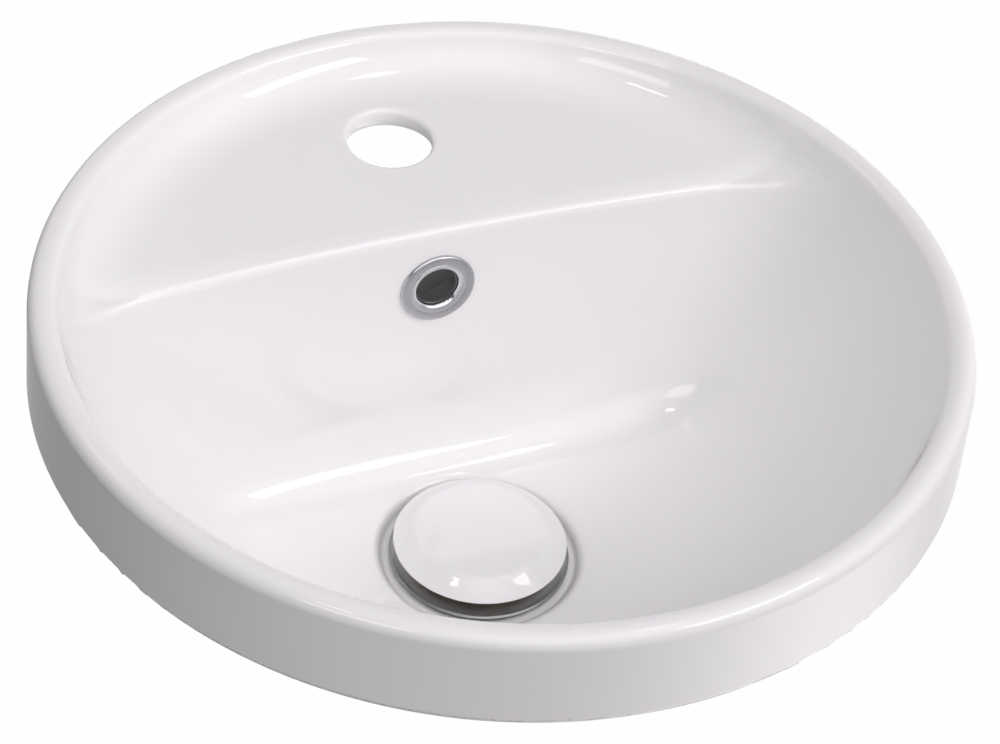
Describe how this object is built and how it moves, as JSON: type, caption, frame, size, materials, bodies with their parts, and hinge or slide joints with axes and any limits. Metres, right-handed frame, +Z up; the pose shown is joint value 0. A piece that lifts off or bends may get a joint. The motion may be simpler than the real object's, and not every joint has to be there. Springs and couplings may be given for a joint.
{
  "type": "inset basin",
  "caption": "Round white ceramic inset basin with a straight-sided rim, tap ledge, overflow ring and a raised ceramic push plug.",
  "frame": {"origin": "centre of the rim's underside, on the plane where the basin rests on the worktop", "axes": "+Z up, +Y towards the tap ledge at the back, +X to the right seen from the front"},
  "size_m": [0.36, 0.36, 0.23],
  "materials": {
    "china": "white high-gloss glaze",
    "chrome": "polished chrome plate",
    "brass": "plain turned brass",
    "steel": "drawn stainless steel",
    "rubber": "black moulded rubber",
    "plastic": "pale moulded plastic"
  },
  "bodies": {
    "basin": {"basin_body": "china", "overflow_ring": "chrome", "overflow_insert": "plastic", "waste_body": "chrome", "flange_seal": "rubber", "cone_washer": "rubber", "slip_washer": "plastic", "back_nut": "brass", "cartridge_body": "brass", "guide_bush": "plastic", "stem_ring": "rubber", "spring_seat": "steel", "return_spring": "steel"},
    "plug": {"plunger_stem": "steel", "push_collar": "brass", "stem_clip": "steel", "lock_nut": "brass", "plug_disc": "brass", "plug_seal": "rubber", "plug_cap": "china"},
    "rotor": {"latch_rotor": "plastic"}
  },
  "joints": [
    {"name": "plug_slide", "type": "slide", "parent": "basin", "child": "plug", "axis": [0, 0, 1], "range_m": [-0.006, 0], "stiffness_N_per_m": 900, "springref_m": 0.012, "deforming": ["return_spring"]},
    {"name": "latch_turn", "type": "hinge", "parent": "plug", "child": "rotor", "pos_m": [0, 0, -0.128], "axis": [0, 0, 1], "range_deg": [0, 45]}
  ],
  "couplings": [
    {"joint": "latch_turn", "follows": "plug_slide", "rad_per_m": -130.8}
  ]
}
